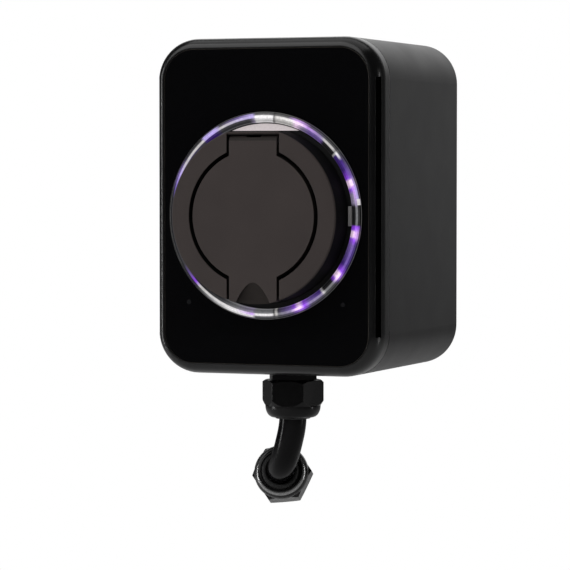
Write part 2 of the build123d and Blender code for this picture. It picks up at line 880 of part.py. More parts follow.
def make_supply_cores():
    front = at(board_front - block_height)
    tail_top = seat[2] + tail_rise
    cores = []
    for x, angle in zip(terminal_places(), core_order):
        turn = math.radians(angle)
        low = (core_ring * math.cos(turn), gland_y + core_ring * math.sin(turn), tail_top)
        high = (low[0], low[1], tail_top + core_rises[angle])
        before = (x, front - 3 * core_bend, supply_block_z)
        points = [low, high, before, (x, front + block_hole_depth, supply_block_z)]
        cores.append(wire(points, lead_radius, core_bend))
    return joined(cores)


def make_cable_tail():
    """The cable inside the case, up from where its free part begins."""
    height = tail_rise - cable_route[0][2]
    return Pos(*seat) * Pos(0, 0, tail_rise - height / 2) * Cylinder(cable_radius, height)


def post(radius, low, high):
    return Pos(0, 0, low) * Cylinder(radius, high - low, align=(Align.CENTER, Align.CENTER, Align.MIN))


def hexagon(across, low, high, turn=0.0):
    sketch = RegularPolygon(across / 2, 6, major_radius=False, rotation=turn)
    return Pos(0, 0, low) * extrude(sketch, amount=high - low)


def gland_washer():
    return post(washer_radius, 0, washer_thickness) - post(thread_radius + running_gap, 0, washer_thickness)


def gland_body(turn):
    body = post(thread_radius, -thread_length, washer_thickness)
    body += hexagon(gland_hex, washer_thickness, gland_hex_top, turn)
    body += post(gland_tube_radius, gland_hex_top, gland_tube_top)
    step = post(mouth_radius - small_gap, seal_bottom, gland_tube_top)
    return body - post(gland_bore, -thread_length, gland_tube_top) - step


def gland_seal():
    """A rubber sleeve that stands a little proud of the nut's mouth, its end rounded off."""
    sleeve = post(mouth_radius - 2 * small_gap, seal_bottom, seal_top)
    sleeve = chamfer(sleeve.edges().group_by(Axis.Z)[-1], seal_outer_bevel)
    sleeve -= post(cable_radius + seal_clearance, seal_bottom, seal_top)
    return chamfer(sleeve.edges().group_by(Axis.Z)[-1].sort_by(SortBy.RADIUS)[0], seal_inner_bevel)


def gland_nut(across, turn):
    """A hexagon with its outer corners turned off, and a dome that curves in to the mouth."""
    height = nut_top - nut_hex_top
    dome_width = dome_radius - mouth_radius
    skirt = Polyline(
        (0, nut_bottom),
        (across / 2 + nut_end_step, nut_bottom),
        (nut_corner_radius, nut_bottom + nut_end_chamfer),
        (nut_corner_radius, nut_hex_top - nut_chamfer),
        (dome_radius, nut_hex_top),
        (0, nut_hex_top),
        (0, nut_bottom),
    )
    hex_part = hexagon(across, nut_bottom, nut_hex_top, turn) & revolve(Plane.XZ * make_face(skirt), Axis.Z)
    curve = EllipticalCenterArc((mouth_radius, nut_hex_top), dome_width, height, start_angle=0, arc_size=90)
    rest = Polyline((mouth_radius, nut_top), (0, nut_top), (0, nut_hex_top), (dome_radius, nut_hex_top))
    body = hex_part + revolve(Plane.XZ * make_face(curve + rest), Axis.Z)
    body -= post(mouth_radius, nut_bottom, nut_top)
    return body - post(gland_tube_radius + nut_wall_gap, nut_bottom, gland_tube_top + nut_wall_gap)


def gland_locknut(turn, top):
    nut = hexagon(locknut_hex, top - locknut_height, top, turn)
    return nut - post(thread_radius + running_gap, top - locknut_height, top)


def gland(name, place, turns, nut_across):
    """The pieces of a gland, its seat at the place's origin and its mouth along the place's axis."""
    pieces = {
        "body": gland_body(turns[0]),
        "seal": gland_seal(),
        "nut": gland_nut(nut_across, turns[1]),
    }
    return {name + "_" + piece: place * solid for piece, solid in pieces.items()}


def cable_radii():
    """Each arc of the cable is as large as its two runs allow."""
    points = [Vector(*p) for p in cable_route]
    radii = []
    for before, here, after in zip(points, points[1:], points[2:]):
        turn = math.radians((here - before).get_angle(after - here))
        shorter = min((here - before).length, (after - here).length)
        radii.append(arc_share * shorter / math.tan(turn / 2))
    return radii


def make_supply_cable():
    radii = cable_radii()
    path = Pos(*seat) * FilletPolyline(*cable_route, radius=radii)
    cable = sweep(Plane(origin=path @ 0, z_dir=path % 0) * Circle(cable_radius), path=path)
    print("cable radii", [round(r, 1) for r in radii], "length", round(path.length, 2))
    section = math.pi * cable_radius**2
    print("cable volume", round(cable.volume), "section times length", round(section * path.length))
    return cable


inlet_place = Plane(origin=seat, x_dir=(1, 0, 0), z_dir=(0, 0, -1))
far_direction = Vector(*far_axis).normalized()
far_seat = Vector(*seat) + Vector(*far_mouth) + far_direction * nut_top
far_across = Vector(1, 0, 0).cross(far_direction).cross(far_direction) * -1
far_place = Plane(origin=far_seat, x_dir=far_across, z_dir=far_direction * -1)

nodes = {
    "rear_housing": make_rear_housing(),
    "front_cover": make_front_cover(),
    "cover_gasket": make_cover_gasket(),
    "cover_screws": make_cover_screws(),
    "front_panel": make_front_panel(),
    "indicator_lenses": make_indicator_lenses(),
    "ring_carrier": make_ring_carrier(),
    "light_ring": make_light_ring(),
    "led_strip": make_led_strip(),
    "leds": make_leds(),
    "status_window": make_status_window(),
    "ring_clip": make_ring_clip(),
    "socket_collar": make_socket_collar(),
    "socket_bucket": make_socket_bucket(),
    "bucket_screws": make_bucket_screws(),
    "socket_screws": make_socket_screws(),
    "socket_lid": make_socket_lid(),
    "lid_seal": make_lid_seal(),
    "lid_hinge_pin": make_hinge_pin(),
    "lid_spring": make_lid_spring(),
    "socket_insert": make_socket_insert(),
    "contact_sleeves": make_contact_sleeves(),
    "insert_screws": make_insert_screws(),
    "lock_actuator": make_lock_actuator(),
    "lock_pin": make_lock_pin(),
    "wall_bracket": make_wall_bracket(),
    "control_board": make_control_board(),
    "board_screws": make_board_screws(),
    "board_parts": make_board_parts(),
    "power_relays": make_power_relays(),
    "outlet_terminals": make_outlet_terminals(),
    "supply_terminals": make_supply_terminals(),
    "socket_leads": make_socket_leads(),
    "supply_cores": make_supply_cores(),
    "cable_tail": make_cable_tail(),
    "supply_cable": make_supply_cable(),
}
nodes.update(gland("inlet_gland", inlet_place.location, inlet_turns, inlet_nut_hex))
nodes["inlet_gland_washer"] = inlet_place.location * gland_washer()
nodes["inlet_gland_locknut"] = inlet_place.location * gland_locknut(inlet_turns[0], -case_wall)
nodes.update(gland("far_gland", far_place.location, far_turns, far_nut_hex))

os.makedirs("parts", exist_ok=True)
for name, shape in nodes.items():
    export_step(shape, "parts/" + name + ".step")
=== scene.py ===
import json
import math

import bpy
from mathutils import Matrix, Vector


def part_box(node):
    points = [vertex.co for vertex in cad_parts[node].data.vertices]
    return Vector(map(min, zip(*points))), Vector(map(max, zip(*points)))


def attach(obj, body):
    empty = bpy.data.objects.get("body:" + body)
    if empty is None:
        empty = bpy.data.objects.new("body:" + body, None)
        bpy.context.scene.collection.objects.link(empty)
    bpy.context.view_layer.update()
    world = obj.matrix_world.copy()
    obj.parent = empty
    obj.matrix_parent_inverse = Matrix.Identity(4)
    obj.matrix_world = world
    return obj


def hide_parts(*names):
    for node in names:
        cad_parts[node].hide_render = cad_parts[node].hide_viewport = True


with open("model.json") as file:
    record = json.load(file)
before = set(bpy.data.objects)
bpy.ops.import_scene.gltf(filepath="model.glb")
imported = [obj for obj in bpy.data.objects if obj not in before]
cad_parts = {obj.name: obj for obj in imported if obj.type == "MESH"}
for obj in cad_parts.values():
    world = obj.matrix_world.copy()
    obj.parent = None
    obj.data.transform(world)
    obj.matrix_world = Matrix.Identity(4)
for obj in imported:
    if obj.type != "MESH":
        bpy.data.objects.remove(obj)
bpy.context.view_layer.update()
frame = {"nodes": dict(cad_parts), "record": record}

nodes = frame["nodes"]
ROOT = "wallbox"

# Camera at the photograph's viewing angle: its place, and the ways to the right, up and back in its picture
CAMERA_LENS, SENSOR_WIDTH, CAMERA_REACH = 180.446, 36.0, 50.0
CAMERA_PLACE = (0.633525, -1.707322, 0.022799)
CAMERA_WAYS = ((0.92939, 0.36911, 0.0), (-0.01509, 0.03800, 0.99916), (0.36880, -0.92861, 0.04088))
cam_data = bpy.data.cameras.new("camera")
cam_data.lens = CAMERA_LENS
cam_data.sensor_width = SENSOR_WIDTH
cam_data.sensor_fit = "HORIZONTAL"
cam_data.clip_end = CAMERA_REACH
camera = bpy.data.objects.new("camera", cam_data)
bpy.context.scene.collection.objects.link(camera)
camera.matrix_world = Matrix.Translation(CAMERA_PLACE) @ Matrix(CAMERA_WAYS).transposed().to_4x4()
bpy.context.scene.camera = camera

# Supply cable: the route's points from the part's source, in metres
CABLE_ROUTE = [
    (0.0, -0.099, -0.107),
    (0.0, -0.099, -0.1195),
    (0.0, -0.09895, -0.1325),
    (-0.0034, -0.0977, -0.1450),
    (-0.0080, -0.0936, -0.1556),
    (-0.0139, -0.0858, -0.1618),
    (-0.0178, -0.0719, -0.1660),
    (-0.0215, -0.0590, -0.1699),
    (-0.0249, -0.0466, -0.1736),
]
CABLE_RADIUS = 0.0083
ROUTE_STEPS, ROUND_STEPS = 16, 10
curve = bpy.data.curves.new("supply_cable_sheath", "CURVE")
curve.dimensions = "3D"
spline = curve.splines.new("NURBS")
spline.points.add(len(CABLE_ROUTE) - 1)
for point, place in zip(spline.points, CABLE_ROUTE):
    point.co = (*place, 1.0)
    point.radius = CABLE_RADIUS
spline.order_u = 3
spline.use_endpoint_u = True
spline.resolution_u = ROUTE_STEPS
# The points carry the radius, so that the curve's own box is no wider than the cable
curve.bevel_depth = 1.0
curve.bevel_resolution = ROUND_STEPS
curve.use_fill_caps = True
cable = bpy.data.objects.new("supply_cable_sheath", curve)
bpy.context.scene.collection.objects.link(cable)
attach(cable, ROOT)
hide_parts("supply_cable")


MATERIALS = {}
# Most of a noise's values lie between these two
NOISE_LOW, NOISE_HIGH = 0.3, 0.7
BEVEL_SAMPLES = 6


def new_material(name, base, roughness, metallic=0.0, specular=0.5):
    """Adds a material with the shader's plain values set, and returns its nodes and that shader."""
    MATERIALS[name] = bpy.data.materials.new(name)
    MATERIALS[name].use_nodes = True
    tree = MATERIALS[name].node_tree
    shader = tree.nodes["Principled BSDF"]
    shader.inputs["Base Color"].default_value = (*base, 1.0)
    shader.inputs["Roughness"].default_value = roughness
    shader.inputs["Metallic"].default_value = metallic
    shader.inputs["Specular IOR Level"].default_value = specular
    return tree, shader


def place_of(tree):
    """The point of the surface in the part's own frame."""
    return tree.nodes.new("ShaderNodeTexCoord").outputs["Object"]


def split_up(tree, vector):
    """A vector's X, Y and Z."""
    split = tree.nodes.new("ShaderNodeSeparateXYZ")
    tree.links.new(vector, split.inputs["Vector"])
    return [split.outputs[axis] for axis in "XYZ"]


def along(tree, vector, way):
    """How far a vector reaches in a way."""
    node = tree.nodes.new("ShaderNodeVectorMath")
    node.operation = "DOT_PRODUCT"
    node.inputs[1].default_value = way
    tree.links.new(vector, node.inputs[0])
    return node.outputs["Value"]


def arithmetic(tree, operation, first, second=None):
    node = tree.nodes.new("ShaderNodeMath")
    node.operation = operation
    for socket, value in zip(node.inputs, (first, second)):
        if isinstance(value, bpy.types.NodeSocket):
            tree.links.new(value, socket)
        elif value is not None:
            socket.default_value = value
    return node.outputs[0]


def distance(tree, value, other):
    """How far apart two values are."""
    return arithmetic(tree, "ABSOLUTE", arithmetic(tree, "SUBTRACT", value, other))


def noise(tree, where, scale, detail=2.0, stretch=None):
    node = tree.nodes.new("ShaderNodeTexNoise")
    node.inputs["Scale"].default_value = scale
    node.inputs["Detail"].default_value = detail
    if stretch:
        mapping = tree.nodes.new("ShaderNodeMapping")
        mapping.inputs["Scale"].default_value = stretch
        tree.links.new(where, mapping.inputs["Vector"])
        where = mapping.outputs["Vector"]
    tree.links.new(where, node.inputs["Vector"])
    return node.outputs["Fac"]


def spread(tree, value, low, high, start=NOISE_LOW, end=NOISE_HIGH, kind="LINEAR"):
    """Goes from low to high while the value goes from start to end."""
    node = tree.nodes.new("ShaderNodeMapRange")
    node.interpolation_type = kind
    node.inputs["From Min"].default_value = start
    node.inputs["From Max"].default_value = end
    node.inputs["To Min"].default_value = low
    node.inputs["To Max"].default_value = high
    tree.links.new(value, node.inputs["Value"])
    return node.outputs["Result"]


def stops_along(tree, value, stops):
    """A colour ramp through stops, each a position from 0 to 1 and a colour."""
    ramp = tree.nodes.new("ShaderNodeValToRGB")
    tree.links.new(value, ramp.inputs["Fac"])
    elements = ramp.color_ramp.elements
    while len(elements) < len(stops):
        elements.new(0.5)
    for element, (position, colour) in zip(elements, sorted(stops)):
        element.position = position
        element.color = (*colour, 1.0)
    return ramp.outputs["Color"]


def levels_along(tree, value, stops):
    """A ramp through stops, each a position from 0 to 1 and a level of grey."""
    return stops_along(tree, value, [(position, (level,) * 3) for position, level in stops])


def tinted(tree, value, first, second):
    """A colour between two, as a noise's value goes over its range."""
    return stops_along(tree, value, [(NOISE_LOW, first), (NOISE_HIGH, second)])


def blended(tree, kind, first, second, factor=1.0):
    node = tree.nodes.new("ShaderNodeMix")
    node.data_type = "RGBA"
    node.blend_type = kind
    for socket, value in ((node.inputs["Factor"], factor), (node.inputs[6], first), (node.inputs[7], second)):
        if isinstance(value, bpy.types.NodeSocket):
            tree.links.new(value, socket)
        else:
            socket.default_value = value
    return node.outputs[2]


def changed(tree, shader, socket, kind, value, mask):
    """Blends a value into what already feeds the shader's socket, where the mask is 1."""
    usual = shader.inputs[socket].links[0].from_socket
    tree.links.new(blended(tree, kind, usual, value, mask), shader.inputs[socket])


def scaled(colour, factor):
    return [channel * factor for channel in colour]


def roughened(tree, shader, height, depth, edge=0.0003):
    """Bump from a height between 0 and 1, with its depth in metres, over edges softened by that radius."""
    bump = tree.nodes.new("ShaderNodeBump")
    bump.inputs["Strength"].default_value = 1.0
    bump.inputs["Distance"].default_value = depth
    tree.links.new(height, bump.inputs["Height"])
    if edge:
        bevel = tree.nodes.new("ShaderNodeBevel")
        bevel.samples = BEVEL_SAMPLES
        bevel.inputs["Radius"].default_value = edge
        tree.links.new(bevel.outputs["Normal"], bump.inputs["Normal"])
    tree.links.new(bump.outputs["Normal"], shader.inputs["Normal"])


def frontness(tree):
    """How squarely a face looks to the front or the back in the piece's own frame, from 0 to 1."""
    local = tree.nodes.new("ShaderNodeVectorTransform")
    local.vector_type = "NORMAL"
    local.convert_from, local.convert_to = "WORLD", "OBJECT"
    tree.links.new(tree.nodes.new("ShaderNodeNewGeometry").outputs["True Normal"], local.inputs["Vector"])
    forward = split_up(tree, local.outputs["Vector"])[1]
    return arithmetic(tree, "ABSOLUTE", forward)


# General materials
FLOW_SCALE, PATCH_SCALE, LIT_SCALE = 45.0, 60.0, 800.0


def moulded(name, base, roughness, grain=2500.0, depth=0.00001, vary=0.05, specular=0.5, edge=0.0003, wear=0.02):
    """Moulded plastic: fine grain, faint flow marks in the colour and a roughness that isn't quite even."""
    tree, shader = new_material(name, base, roughness, specular=specular)
    where = place_of(tree)
    flow = noise(tree, where, FLOW_SCALE)
    colour = tinted(tree, flow, scaled(base, 1 - vary), scaled(base, 1 + vary))
    tree.links.new(colour, shader.inputs["Base Color"])
    tree.links.new(spread(tree, flow, max(0.02, roughness - wear), roughness + wear), shader.inputs["Roughness"])
    roughened(tree, shader, noise(tree, where, grain, 3.0), depth, edge)
    return tree, shader


def metal(name, base, roughness, stretch=(1.0, 1.0, 1.0), depth=0.000004, scale=1800.0):
    """Metal with fine lines, which the stretch can draw out, and with duller patches."""
    tree, shader = new_material(name, base, roughness, metallic=1.0)
    where = place_of(tree)
    patches = noise(tree, where, PATCH_SCALE, 3.0)
    tree.links.new(spread(tree, patches, roughness * 0.75, roughness * 1.3), shader.inputs["Roughness"])
    tree.links.new(tinted(tree, patches, scaled(base, 0.88), base), shader.inputs["Base Color"])
    roughened(tree, shader, noise(tree, where, scale, 2.0, stretch), depth, 0.0002)


def lit(name, colour, strength):
    """A surface that glows in its own colour."""
    tree, shader = new_material(name, colour, 0.3)
    speckle = noise(tree, place_of(tree), LIT_SCALE)
    tree.links.new(tinted(tree, speckle, scaled(colour, 0.85), colour), shader.inputs["Base Color"])
    shader.inputs["Emission Color"].default_value = (*colour, 1.0)
    shader.inputs["Emission Strength"].default_value = strength


def board():
    """Solder mask over copper tracks, which run up and down and show as slightly raised, paler lines."""
    mask_green, track_green = (0.015, 0.13, 0.05), (0.03, 0.20, 0.09)
    tree, shader = new_material("board_green", mask_green, 0.35)
    tracks = noise(tree, place_of(tree), 220.0, 0.0, (1.0, 0.2, 0.12))
    tree.links.new(tinted(tree, tracks, mask_green, track_green), shader.inputs["Base Color"])
    roughened(tree, shader, tracks, 0.00002, 0.0002)


# The black glass panel, the paler colour of its edge faces, which is a painted highlight, and the frontness below
# which a face counts as its edge
GLASS_BLACK, GLASS_EDGE_GLINT, GLASS_SQUARE = (0.0018, 0.0018, 0.0022), (0.045, 0.04, 0.035), 0.95


def glass_panel():
    """Black-backed glass: almost no colour of its own, a painted highlight on its edge faces, and faint waves and
    wipe marks.
    """
    tree, shader = new_material("panel_glass", GLASS_BLACK, 0.04, specular=0.16)
    where = place_of(tree)
    wipes = noise(tree, where, 14.0, 3.0, (1.0, 1.0, 0.35))
    tree.links.new(spread(tree, wipes, 0.03, 0.09), shader.inputs["Roughness"])
    flat = arithmetic(tree, "GREATER_THAN", frontness(tree), GLASS_SQUARE)
    # Painted highlight: the edge faces take a paler colour than the flat front
    tree.links.new(blended(tree, "MIX", (*GLASS_EDGE_GLINT, 1.0), (*GLASS_BLACK, 1.0), flat), shader.inputs["Base Color"])
    roughened(tree, shader, noise(tree, where, 9.0, 1.0), 0.00001, 0.0)


# The light in the clear ring, in degrees up (or down) from three o'clock: along the bright core of the tube,
# in the rest of the tube inside it, and in its rim outside it
SOCKET_Z = -0.0053
RING_INNER, RING_OUTER = 0.0550, 0.0615
DARK, SMOKE, GREY, CREAM = (0.008, 0.008, 0.009), (0.05, 0.05, 0.055), (0.20, 0.20, 0.21), (0.62, 0.60, 0.59)
WHITE, MIST, LILAC = (0.86, 0.84, 0.85), (0.28, 0.24, 0.36), (0.16, 0.10, 0.34)
INDIGO, PURPLE, PINK, HOT = (0.045, 0.017, 0.17), (0.30, 0.07, 0.80), (0.55, 0.30, 0.80), (1.0, 0.74, 1.0)
IRIS, PALE_IRIS = (0.22, 0.15, 0.55), (0.55, 0.45, 0.88)
UPPER_CORE = [
    (0, GREY), (5, GREY), (6, MIST), (14, PINK), (17.5, PINK), (18, HOT), (21, HOT), (22, LILAC), (34, INDIGO),
    (37, WHITE), (39, WHITE), (40, GREY), (42, CREAM), (49, CREAM), (52, MIST), (62, PINK), (66, HOT), (70, HOT),
    (72, WHITE), (82.5, CREAM), (83.5, DARK), (84.5, WHITE), (95, WHITE), (97, PALE_IRIS), (118, CREAM),
    (121, PALE_IRIS), (130, PALE_IRIS), (131, CREAM), (148, CREAM), (155, PALE_IRIS), (163, IRIS), (170, SMOKE),
]
UPPER_FILL = [
    (0, DARK), (6, DARK), (7.5, MIST), (13, MIST), (16, PURPLE), (18, HOT), (21, HOT), (22.5, PURPLE),
    (28, INDIGO), (38, INDIGO), (39, CREAM), (40, DARK), (49, DARK), (51, LILAC), (60, LILAC), (65, MIST),
    (69, HOT), (72, CREAM), (82.5, CREAM), (83.5, DARK), (84.5, WHITE), (95, WHITE), (96, MIST), (99, SMOKE),
    (118, SMOKE), (123, INDIGO), (130, INDIGO), (131, SMOKE), (155, INDIGO), (165, DARK),
]
UPPER_RIM = [
    (0, DARK), (7, DARK), (9, PALE_IRIS), (16, PALE_IRIS), (24, LILAC), (36, SMOKE), (60, SMOKE), (66, PINK),
    (70, PINK), (75, SMOKE), (95, DARK), (97, PALE_IRIS), (106, LILAC), (118, SMOKE), (121, PALE_IRIS),
    (130, PALE_IRIS), (132, DARK), (145, DARK), (155, LILAC), (165, DARK),
]
LOWER_CORE = [
    (0, GREY), (5, GREY), (6, PURPLE), (9, PINK), (12, PINK), (14, PURPLE), (17, LILAC), (30, LILAC),
    (34, PURPLE), (35, HOT), (38, HOT), (41, MIST), (42, GREY), (48, GREY), (49.5, CREAM), (51, MIST), (60, MIST),
    (64, PURPLE), (67, HOT), (70, HOT), (73, MIST), (81, GREY), (82, CREAM), (83.5, DARK), (84.5, WHITE),
    (95, WHITE), (97, PINK), (108, WHITE), (134, CREAM), (138, PURPLE), (143, LILAC), (150, SMOKE),
]
LOWER_FILL = [
    (0, DARK), (5, DARK), (6, PURPLE), (8, PURPLE), (9, HOT), (12, HOT), (13, PURPLE), (17, LILAC), (29, INDIGO),
    (33, PURPLE), (35, HOT), (37.5, HOT), (39, PURPLE), (41.5, DARK), (49, DARK), (49.5, CREAM), (51, INDIGO),
    (60, LILAC), (64, PURPLE), (67, HOT), (70, PURPLE), (73, LILAC), (81, SMOKE), (82, CREAM), (83.5, DARK),
    (84.5, GREY), (95, GREY), (97, MIST), (108, GREY), (118, SMOKE), (135, DARK),
]
LOWER_RIM = [
    (0, DARK), (5, DARK), (6, PURPLE), (9, PINK), (13, PINK), (15, INDIGO), (30, INDIGO), (36, PURPLE),
    (40, SMOKE), (60, SMOKE), (66, PURPLE), (72, SMOKE), (84, SMOKE), (95, SMOKE), (97, WHITE), (110, WHITE),
    (126, GREY), (136, DARK),
]
# Across the tube, from its inner edge to its outer one: how much of the fill, core, rim and plain edge light shows
FILL_ACROSS = [
    (0.0, 0.2), (0.05, 0.9), (0.12, 0.55), (0.28, 0.7), (0.33, 1.0), (0.42, 0.9), (0.50, 0.4), (0.66, 0.25),
    (0.76, 0.10), (0.90, 0.04), (1.0, 0.0),
]
CORE_ACROSS = [
    (0.0, 0.0), (0.40, 0.0), (0.48, 1.0), (0.62, 1.0), (0.69, 0.12), (0.74, 0.01), (0.91, 0.01), (0.94, 0.07),
    (0.97, 0.0),
]
RIM_ACROSS = [(0.0, 0.0), (0.60, 0.0), (0.68, 0.8), (0.82, 0.8), (0.88, 0.0), (1.0, 0.0)]
EDGE_ACROSS = [
    (0.0, 0.0), (0.04, 0.06), (0.08, 0.0), (0.26, 0.0), (0.29, 0.03), (0.32, 0.0), (0.75, 0.0), (0.78, 0.06),
    (0.81, 0.0), (0.91, 0.0), (0.94, 0.10), (0.97, 0.0),
]
RING_LAYERS = (
    (UPPER_CORE, LOWER_CORE, CORE_ACROSS),
    (UPPER_FILL, LOWER_FILL, FILL_ACROSS),
    (UPPER_RIM, LOWER_RIM, RIM_ACROSS),
)
# The painted highlight where the tube's ends meet, a small glowing white patch near its outer edge: degrees up from
# three o'clock, how far across the tube, and how far from its middle it starts to fade and is gone, in half turns
# and in shares of the tube's width
JOINT_GLINT_TURN, JOINT_GLINT_SHARE, JOINT_GLINT_LIGHT = 8.0, 0.78, (0.80, 0.76, 0.80, 1.0)
JOINT_GLINT_LONG, JOINT_GLINT_WIDE = (0.0085, 0.0105), (0.10, 0.17)


def clear_tube():
    """Clear acrylic over a lit strip: bright edges, light that changes from piece to piece round the ring, and a
    painted highlight.
    """
    tree, shader = new_material("ring_clear", (0.002, 0.002, 0.002), 0.10, specular=0.12)
    where = place_of(tree)
    across, _, upward = split_up(tree, where)
    height = arithmetic(tree, "SUBTRACT", upward, SOCKET_Z)
    turn = arithmetic(tree, "DIVIDE", arithmetic(tree, "ARCTAN2", height, across), math.pi)
    down = arithmetic(tree, "MULTIPLY", turn, -1.0)
    above = arithmetic(tree, "GREATER_THAN", turn, 0.0)
    far = arithmetic(tree, "SQRT", arithmetic(
        tree, "ADD", arithmetic(tree, "POWER", height, 2.0), arithmetic(tree, "POWER", across, 2.0)))
    share = arithmetic(tree, "DIVIDE", arithmetic(tree, "SUBTRACT", far, RING_INNER), RING_OUTER - RING_INNER)
    light = levels_along(tree, share, EDGE_ACROSS)
    for upper, lower, profile in RING_LAYERS:
        over = stops_along(tree, turn, [(angle / 180, colour) for angle, colour in upper])
        under = stops_along(tree, down, [(angle / 180, colour) for angle, colour in lower])
        colour = blended(tree, "MIX", under, over, above)
        band = levels_along(tree, share, profile)
        light = blended(tree, "ADD", light, blended(tree, "MULTIPLY", colour, band))
    # Painted highlight: a small glowing white patch where the tube's ends meet
    joint_glint = arithmetic(tree, "MULTIPLY",
                     spread(tree, distance(tree, turn, JOINT_GLINT_TURN / 180), 1.0, 0.0, *JOINT_GLINT_LONG),
                     spread(tree, distance(tree, share, JOINT_GLINT_SHARE), 1.0, 0.0, *JOINT_GLINT_WIDE))
    light = blended(tree, "MIX", light, JOINT_GLINT_LIGHT, joint_glint)
    specks = tinted(tree, noise(tree, where, 900.0), (0.75,) * 3, (1.0,) * 3)
    tree.links.new(blended(tree, "MULTIPLY", light, specks), shader.inputs["Emission Color"])
    shader.inputs["Emission Strength"].default_value = 1.0
    roughened(tree, shader, noise(tree, where, 30.0, 1.0), 0.00005, 0.0)


# The collar and the lid. The collar's side turns black between these two depths.
CHARCOAL, SIDE_BLACK = (0.052, 0.0425, 0.0405), (0.0015, 0.0015, 0.0015, 1.0)
CHARCOAL_ROUGH, SIDE_ROUGH, CHARCOAL_SPECULAR = 0.62, 0.9, 0.12
CHARCOAL_GRAIN, CHARCOAL_DEPTH = 3200.0, 0.00002
SIDE_START, SIDE_FULL = -0.1629, -0.1619
# The painted shade of the lid's sloping faces: full below the first frontness, none above the second
SLOPE_SHADE, SLOPING, SQUARE = (0.45, 0.45, 0.43, 1.0), 0.965, 0.99


def two_tone_collar():
    """The charcoal face of the socket's collar, and the black side of it behind the first millimetre."""
    tree, shader = new_material("collar_two_tone", CHARCOAL, CHARCOAL_ROUGH, specular=CHARCOAL_SPECULAR)
    where = place_of(tree)
    behind = spread(tree, split_up(tree, where)[1], 0.0, 1.0, SIDE_START, SIDE_FULL)
    face = tinted(tree, noise(tree, where, FLOW_SCALE), scaled(CHARCOAL, 0.95), scaled(CHARCOAL, 1.05))
    tree.links.new(blended(tree, "MIX", face, SIDE_BLACK, behind), shader.inputs["Base Color"])
    tree.links.new(spread(tree, behind, CHARCOAL_ROUGH, SIDE_ROUGH, 0.0, 1.0), shader.inputs["Roughness"])
    roughened(tree, shader, noise(tree, where, CHARCOAL_GRAIN, 3.0), CHARCOAL_DEPTH)


def scooped_lid():
    """The collar's charcoal on the lid too, with painted shade on the faces that slope or turn away from its front.
    """
    tree, shader = moulded("lid_charcoal", CHARCOAL, CHARCOAL_ROUGH, CHARCOAL_GRAIN, CHARCOAL_DEPTH,
                           specular=CHARCOAL_SPECULAR)
    sloping = spread(tree, frontness(tree), 1.0, 0.0, SLOPING, SQUARE)
    # Painted shade: darker where the faces slope away from the front
    changed(tree, shader, "Base Color", "MULTIPLY", SLOPE_SHADE, sloping)


# The bezel's slope is a quarter of an ellipse, with a groove down each side of the case. The ellipse's equation
# gives 1 on the slope, less under it: the groove's painted shade is full below the first level, none above the
# second.
SLOPE_WIDE, SLOPE_DEEP, SLOPE_BACK, GROOVE_END = 0.0061, 0.0108, -0.1332, 0.0765
GROOVE_FULL, GROOVE_START = 0.94, 0.985
BEZEL = (0.0022, 0.0022, 0.0024)
GROOVE_SHADE_BLACK, GROOVE_ROUGH = (0.0, 0.0, 0.0, 1.0), (0.12, 0.12, 0.12, 1.0)


def grooved_bezel():
    """The cover's glossy plastic, with painted shade in the long grooves that the slope is cut by: black, smoother,
    metallic.
    """
    tree, shader = moulded("bezel_black", BEZEL, 0.24, grain=900.0, depth=0.000002, specular=0.4)
    across, inward, height = split_up(tree, place_of(tree))
    slope_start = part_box("front_cover")[1][0] - SLOPE_WIDE
    sideways = arithmetic(tree, "SUBTRACT", arithmetic(tree, "ABSOLUTE", across), slope_start)
    forward = arithmetic(tree, "SUBTRACT", SLOPE_BACK, inward)
    ellipse = arithmetic(
        tree, "ADD",
        arithmetic(tree, "POWER", arithmetic(tree, "DIVIDE", sideways, SLOPE_WIDE), 2.0),
        arithmetic(tree, "POWER", arithmetic(tree, "DIVIDE", forward, SLOPE_DEEP), 2.0))
    sunk = spread(tree, ellipse, 1.0, 0.0, GROOVE_FULL, GROOVE_START)
    level = arithmetic(tree, "LESS_THAN", arithmetic(tree, "ABSOLUTE", height), GROOVE_END)
    outer = arithmetic(tree, "GREATER_THAN", sideways, 0.0)
    groove_shade = arithmetic(tree, "MULTIPLY", arithmetic(tree, "MULTIPLY", sunk, level), outer)
    # Painted shade: black, metallic and smoother inside the grooves, so that they reflect almost nothing
    changed(tree, shader, "Base Color", "MIX", GROOVE_SHADE_BLACK, groove_shade)
    changed(tree, shader, "Roughness", "MIX", GROOVE_ROUGH, groove_shade)
    tree.links.new(groove_shade, shader.inputs["Metallic"])


# The glands' nylon. The lip of the far gland's dome has a painted highlight, a band of metallic grey this deep
# behind the plane of its mouth.
NYLON, NYLON_ROUGH = (0.0012, 0.0010, 0.0012), 0.20
NYLON_LOOK = {"grain": 1600.0, "depth": 0.000003, "specular": 0.2, "edge": 0.0005}
FAR_MOUTH, FAR_OUTWARD = (-0.0147, -0.083, -0.1626), (0.2598, -0.9243, 0.2798)
LIP_DEEP, LIP_WIDE, LIP_HIGHLIGHT_GREY = 0.0014, 0.0011, (0.28, 0.28, 0.28, 1.0)


def highlighted_mouth():
    """The far nut's nylon, with a painted highlight on the rounded lip of its dome: a band of metallic grey."""
    tree, shader = moulded("far_nut_nylon", NYLON, NYLON_ROUGH, **NYLON_LOOK)
    crest = sum(place * way for place, way in zip(FAR_MOUTH, FAR_OUTWARD)) - LIP_DEEP
    off_crest = distance(tree, along(tree, place_of(tree), FAR_OUTWARD), crest)
    lip = spread(tree, off_crest, 1.0, 0.0, LIP_WIDE / 3, LIP_WIDE)
    # Painted highlight: a metallic grey band round the dome's lip
    changed(tree, shader, "Base Color", "MIX", LIP_HIGHLIGHT_GREY, lip)
    tree.links.new(lip, shader.inputs["Metallic"])


